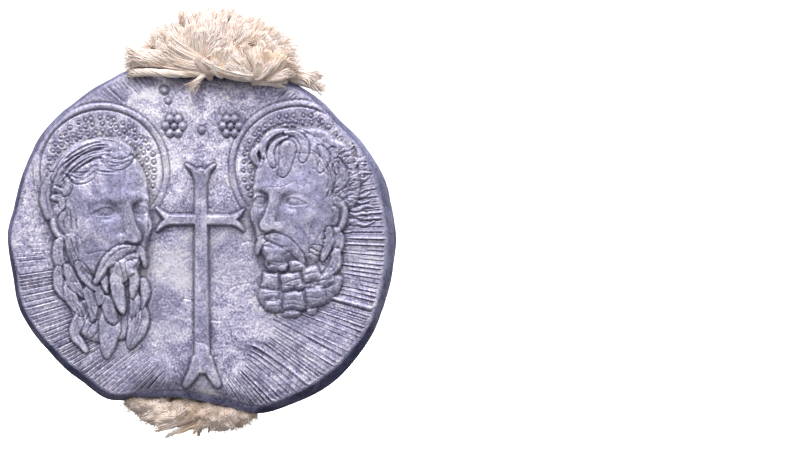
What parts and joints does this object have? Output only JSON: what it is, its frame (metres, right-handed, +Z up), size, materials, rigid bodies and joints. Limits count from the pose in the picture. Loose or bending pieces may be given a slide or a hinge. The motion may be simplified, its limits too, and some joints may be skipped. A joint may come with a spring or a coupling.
{
  "type": "leaden document seal",
  "caption": "Round leaden seal of two struck leaves pressed on a frayed hemp cord, with relief heads, a long cross and rays on one face and rows of ornament on the other.",
  "frame": {"origin": "middle of the lead disc, on the parting plane of its two leaves", "axes": "+Z up the face towards the wide tuft, +X to the right as the figured face is seen, +Y through the disc from the figured face to the patterned face"},
  "size_m": [0.0389, 0.0058, 0.0432],
  "materials": {
    "lead": "dull struck lead with bright worn high places and dark recesses",
    "hemp": "undyed twisted hemp, frayed at the cut ends"
  },
  "bodies": {
    "root": {"obverse_leaf": "lead", "reverse_leaf": "lead", "yarn_01": "hemp", "yarn_02": "hemp", "yarn_03": "hemp", "yarn_04": "hemp", "yarn_05": "hemp", "yarn_06": "hemp", "yarn_07": "hemp", "yarn_08": "hemp", "yarn_09": "hemp", "yarn_10": "hemp", "yarn_11": "hemp", "yarn_12": "hemp"}
  },
  "joints": []
}
